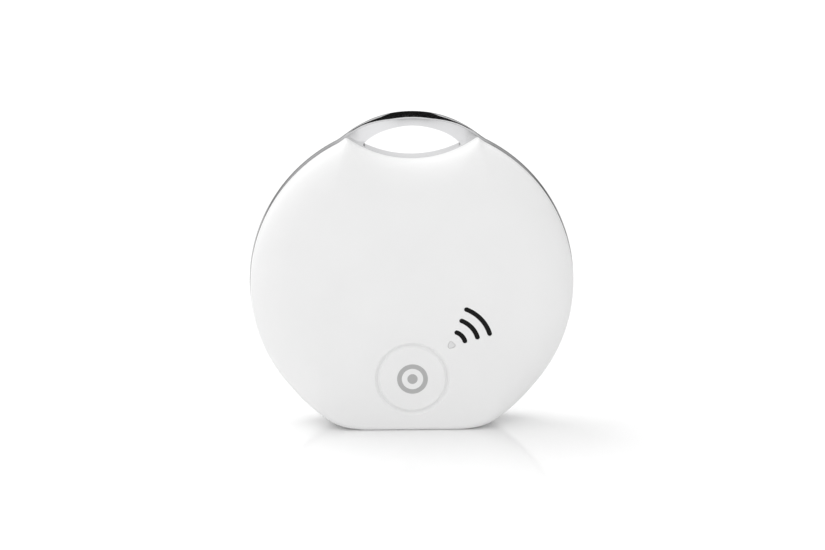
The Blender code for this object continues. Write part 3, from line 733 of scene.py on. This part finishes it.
def make_light_pipe():
    """The frosted light pipe, with an eased end just below the face and a flange behind the wall."""
    sunk, ease_across, ease_deep = 0.03 * MM, 0.1 * MM, 0.05 * MM
    rings = []
    for i in range(5):
        turn = math.pi / 2 * i / 4
        outline = pipe_outline(-ease_across * (1 - math.sin(turn)))
        rings.append(level(outline, -FACE + sunk + ease_deep * (1 - math.cos(turn))))
    rings.append(level(pipe_outline(), PIPE_REAR))
    bm = bmesh.new()
    add_loft(bm, rings)
    pipe = make_object("light_pipe", bm)
    front, rear, radius = -2.65 * MM, -2.35 * MM, 0.6 * MM
    flange = bmesh.new()
    add_turned(
        flange, [(0.0, front), (radius, front), (radius, rear), (0.0, rear)],
        (SLOT_CENTRE[0], BODY_MIDDLE + SLOT_CENTRE[1]), 36,
    )
    cut(pipe, flange, "UNION")
    shade(pipe)
    pipe.data.materials.append(PIPE)
    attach(pipe, "case")
    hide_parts("led_light_pipe")


def make_sound_mesh():
    """The acoustic mesh behind the slots, pressed up into them to just below the face."""
    bisector = sum(SLOT_ANGLES) / 2
    reach, radius = 3.3 * MM, 2.55 * MM
    front, rear, crest_depth = -2.65 * MM, -2.45 * MM, -FACE + 0.05 * MM
    centre = (
        SLOT_CENTRE[0] + reach * math.cos(bisector),
        BODY_MIDDLE + SLOT_CENTRE[1] + reach * math.sin(bisector),
    )
    bm = bmesh.new()
    add_turned(bm, [(0.0, front), (radius, front), (radius, rear), (0.0, rear)], centre, 64)
    mesh = make_object("sound_mesh", bm)
    ribs = bmesh.new()
    for slot_radius in SLOT_RADII:
        crest = level(slot_outline(slot_radius, -0.02 * MM), crest_depth)
        shoulder = level(slot_outline(slot_radius, -0.01 * MM), crest_depth + 0.04 * MM)
        root = level(slot_outline(slot_radius, -0.01 * MM), rear - 0.05 * MM)
        add_loft(ribs, [crest, shoulder, root])
    cut(mesh, ribs, "UNION")
    shade(mesh)
    mesh.data.materials.append(MESH)
    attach(mesh, "case")
    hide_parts("speaker_mesh")


make_front_cover()
make_rear_cover()
make_band()
make_button()
make_light_pipe()
make_sound_mesh()


# ---------------------------------------------------------------- inside

def above(tree, value, limit):
    """1 where the value is above the limit, else 0."""
    made = tree.nodes.new("ShaderNodeMath")
    made.operation = "GREATER_THAN"
    made.inputs[1].default_value = limit
    tree.links.new(value, made.inputs[0])
    return made.outputs["Value"]


def solder_mask():
    """Green lacquer over bundles of copper tracks, which show as lighter raised lines."""
    made, tree, shader = new_material("solder_mask", (0.015, 0.12, 0.05), 0.3)
    blocks = tree.nodes.new("ShaderNodeTexVoronoi")
    blocks.distance = "CHEBYCHEV"
    blocks.inputs["Scale"].default_value = 280.0
    tree.links.new(position(tree), blocks.inputs["Vector"])
    channels = tree.nodes.new("ShaderNodeSeparateColor")
    tree.links.new(blocks.outputs["Color"], channels.inputs["Color"])
    lanes = tree.nodes.new("ShaderNodeMix")
    tree.links.new(above(tree, channels.outputs["Red"], 0.5), lanes.inputs["Factor"])
    for socket, turn in (("A", 0.0), ("B", math.radians(90))):
        wave = tree.nodes.new("ShaderNodeTexWave")
        wave.inputs["Scale"].default_value = 700.0
        tree.links.new(position(tree, turn=(0.0, turn, 0.0)), wave.inputs["Vector"])
        tree.links.new(wave.outputs["Fac"], lanes.inputs[socket])
    tracks = tree.nodes.new("ShaderNodeMath")
    tracks.operation = "MULTIPLY"
    tree.links.new(lanes.outputs["Result"], tracks.inputs[0])
    tree.links.new(above(tree, channels.outputs["Green"], 0.35), tracks.inputs[1])
    tree.links.new(
        ramp(tree, tracks.outputs["Value"], ((0.55, (0.012, 0.11, 0.045)), (0.7, (0.035, 0.22, 0.09)))),
        shader.inputs["Base Color"],
    )
    bump(tree, shader, tracks.outputs["Value"], 0.3, 0.00002)
    return made


def open_foam():
    made, tree, shader = new_material("open_foam", grey(0.03), 0.95)
    cells = tree.nodes.new("ShaderNodeTexVoronoi")
    cells.inputs["Scale"].default_value = 4000.0
    tree.links.new(position(tree), cells.inputs["Vector"])
    tree.links.new(
        ramp(tree, cells.outputs["Distance"], ((0.0, grey(0.01)), (0.6, grey(0.06)))),
        shader.inputs["Base Color"],
    )
    bump(tree, shader, cells.outputs["Distance"], 0.7, 0.00006)
    return made


BOARD = solder_mask()
SOLDER = plating("tinned_solder", (0.78, 0.78, 0.77), 0.3, strength=0.1)
FOAM = open_foam()
CAPACITOR = moulded_plastic("capacitor_body", (0.4, 0.28, 0.18), 0.5, 6000.0, 0.2)


def ease_edges(target, width):
    bevel = target.modifiers.new("edges", "BEVEL")
    bevel.width = width
    bevel.segments = 2
    bevel.limit_method = "ANGLE"
    bevel.angle_limit = math.radians(40)


def middle_of(name):
    """The middle of a CAD node's box."""
    node = NODES[name]
    return sum((node.matrix_world @ Vector(corner) for corner in node.bound_box), Vector()) / 8


def add_solder(bm, name, places, size, turn=0.0):
    """Tinned ends at places (x, height) in mm about a chip's middle, up from the board's surface."""
    middle = middle_of(name)
    for x, height in places:
        at = middle + Matrix.Rotation(turn, 3, "Y") @ Vector((x * MM, 0.0, height * MM))
        at.y = BOARD_REAR + size[1] * MM / 2
        scale = Matrix.Diagonal((size[0] * MM, size[1] * MM, size[2] * MM, 1.0))
        bmesh.ops.create_cube(
            bm, size=1.0, matrix=Matrix.Translation(at) @ Matrix.Rotation(turn, 4, "Y") @ scale
        )


def make_solder():
    """The tinned ends and solder joints of everything on the rear of the board."""
    bm = bmesh.new()
    for i in range(1, 7):
        add_solder(bm, f"capacitor_{i}", ((-0.35, 0.0), (0.35, 0.0)), (0.26, 0.68, 0.56))
    for i in range(1, 4):
        add_solder(bm, f"resistor_{i}", ((0.0, -0.5), (0.0, 0.5)), (0.66, 0.48, 0.26))
    pins = [-2.1 + 0.6 * i for i in range(8)]
    for edge in (-2.55, 2.55):
        add_solder(bm, "bluetooth_chip", [(edge, pin) for pin in pins], (0.4, 0.12, 0.28))
        add_solder(bm, "bluetooth_chip", [(pin, edge) for pin in pins], (0.28, 0.12, 0.4))
    add_solder(bm, "crystal_main", [(x, z) for x in (-1.35, 1.35) for z in (-1.0, 1.0)], (0.9, 0.1, 0.8))
    add_solder(bm, "crystal_clock", ((0.0, -1.4), (0.0, 1.4)), (1.0, 0.1, 0.6))
    add_solder(bm, "chip_antenna", ((-2.85, 0.0), (2.85, 0.0)), (0.5, 0.86, 2.06), math.radians(42))
    add_solder(bm, "buzzer_coil", ((-1.3, 0.0), (1.3, 0.0)), (0.4, 0.5, 1.4))
    add_solder(bm, "buzzer_transistor", ((-1.0, -0.85), (1.0, -0.85), (0.0, 0.85)), (0.45, 0.12, 0.5))
    solder = make_object("solder_joints", bm)
    ease_edges(solder, 0.04 * MM)
    solder.data.materials.append(SOLDER)
    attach(solder, "case")


def make_chip_dot():
    """The printed dot beside the radio chip's first pin."""
    middle = middle_of("bluetooth_chip")
    top = BOARD_REAR + GAP + CHIP_HEIGHT
    below, above_top, radius, from_middle = 0.02 * MM, 0.01 * MM, 0.25 * MM, 1.9 * MM
    bm = bmesh.new()
    add_turned(bm, [
        (0.0, top - below), (radius, top - below), (radius, top + above_top / 2),
        (radius - above_top, top + above_top), (0.0, top + above_top),
    ], (middle.x - from_middle, middle.z + from_middle), 24)
    dot = make_object("chip_dot", bm)
    dot.data.materials.append(MARK_GREY)
    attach(dot, "case")


make_solder()
make_chip_dot()

LOOKS = {
    "circuit_board": BOARD, "cell_pad": FOAM, "cell_pellet": FOAM,
    "buzzer_diaphragm": BRASS, "buzzer_ceramic": CERAMIC, "chip_antenna": CERAMIC,
    "negative_contact": GOLD, "positive_contact": GOLD, "cell_seal": SEAL, "status_led": PIPE,
    "cell_can": STEEL, "cell_cap": STEEL, "switch_plate": STEEL,
    "crystal_main": STEEL, "crystal_clock": STEEL,
}
for name, node in NODES.items():
    look = LOOKS.get(name, BLACK)
    if name.startswith("capacitor"):
        look = CAPACITOR
    if name.startswith("pcb_screw"):
        look = STEEL
    node.data.materials.clear()
    node.data.materials.append(look)
    ease_edges(node, 0.05 * MM)


# ---------------------------------------------------------------- floor, light and camera

def make_floor():
    bm = bmesh.new()
    bmesh.ops.create_grid(bm, x_segments=1, y_segments=1, size=3.0)
    floor = make_object("floor", bm)
    made, _, shader = new_material("floor", grey(0.9), 0.12)
    shader.inputs["Specular IOR Level"].default_value = 0.45
    floor.data.materials.append(made)


def make_flag():
    """A black card close behind the key loop, seen only in reflections, which blackens the loop's top."""
    bm = bmesh.new()
    behind = 8 * MM
    # Its lower edge lets the loop's slopes mirror the white studio past it.
    right = [
        (4 * MM, 42 * MM), (10 * MM, 38.5 * MM), (10 * MM, 36.6 * MM), (7 * MM, 38.2 * MM),
        (4.4 * MM, 38.5 * MM), (2.5 * MM, 37.6 * MM),
    ]
    corners = right + [(-x, z) for x, z in reversed(right)]
    bm.faces.new([bm.verts.new((x, behind, z)) for x, z in corners])
    flag = make_object("flag", bm)
    made, _, shader = new_material("black_card", grey(0.01), 0.9)
    shader.inputs["Specular IOR Level"].default_value = 0.0
    flag.data.materials.append(made)
    flag.visible_camera = flag.visible_diffuse = flag.visible_shadow = flag.visible_transmission = False


def make_world():
    """A white studio, grey near the horizon in reflections only, and a little more so on the right."""
    world = bpy.data.worlds.new("studio")
    bpy.context.scene.world = world
    world.use_nodes = True
    tree = world.node_tree
    background = tree.nodes["Background"]
    coordinates = tree.nodes.new("ShaderNodeTexCoord")
    axes = tree.nodes.new("ShaderNodeSeparateXYZ")
    lean = tree.nodes.new("ShaderNodeMapping")
    lean.inputs["Rotation"].default_value = (0.0, 0.05, 0.0)
    tree.links.new(coordinates.outputs["Generated"], lean.inputs["Vector"])
    tree.links.new(lean.outputs["Vector"], axes.inputs["Vector"])
    wall = ramp(tree, axes.outputs["Z"], (
        (0.0, grey(0.15)), (0.05, grey(0.25)), (0.12, grey(0.8)), (0.25, grey(1.0)),
    ))
    path = tree.nodes.new("ShaderNodeLightPath")
    blend = tree.nodes.new("ShaderNodeMix")
    blend.data_type = "RGBA"
    tree.links.new(path.outputs["Is Glossy Ray"], blend.inputs["Factor"])
    blend.inputs["A"].default_value = (1.0, 1.0, 1.0, 1.0)
    tree.links.new(wall, blend.inputs["B"])
    tree.links.new(blend.outputs["Result"], background.inputs["Color"])
    background.inputs["Strength"].default_value = 0.95


def make_light(name, place, power):
    """A soft box aimed at the tag, which no glossy surface mirrors."""
    target = Vector((0.0, 0.0, 20 * MM))
    data = bpy.data.lights.new(name, "AREA")
    data.shape = "RECTANGLE"
    data.size = data.size_y = 0.4
    data.energy = power
    light = bpy.data.objects.new(name, data)
    light.visible_glossy = False
    bpy.context.scene.collection.objects.link(light)
    light.location = place
    light.rotation_euler = (target - Vector(place)).to_track_quat("-Z", "Y").to_euler()


def make_camera():
    azimuth, elevation = math.radians(-1.4), math.radians(16.5)
    distance, width = 0.6, 96.661 * MM
    back = Vector((
        math.sin(azimuth) * math.cos(elevation),
        -math.cos(azimuth) * math.cos(elevation),
        math.sin(elevation),
    ))
    right = Vector((math.cos(azimuth), math.sin(azimuth), 0.0))
    up = back.cross(right)
    target = Vector((0.0, 0.0, BODY_MIDDLE)) + right * 0.094 * MM + up * 0.656 * MM
    data = bpy.data.cameras.new("camera")
    data.sensor_width = 36.0
    data.lens = 36.0 * distance / width
    data.clip_start = 0.01
    camera = bpy.data.objects.new("camera", data)
    bpy.context.scene.collection.objects.link(camera)
    camera.location = target + back * distance
    camera.rotation_euler = back.to_track_quat("Z", "Y").to_euler()
    bpy.context.scene.camera = camera


make_floor()
make_flag()
make_world()
make_light("key", (-0.25, 0.15, 0.45), 1.2)
make_light("fill", (-0.2, -0.45, 0.2), 0.42)
make_camera()
bpy.context.scene.view_settings.view_transform = "Standard"
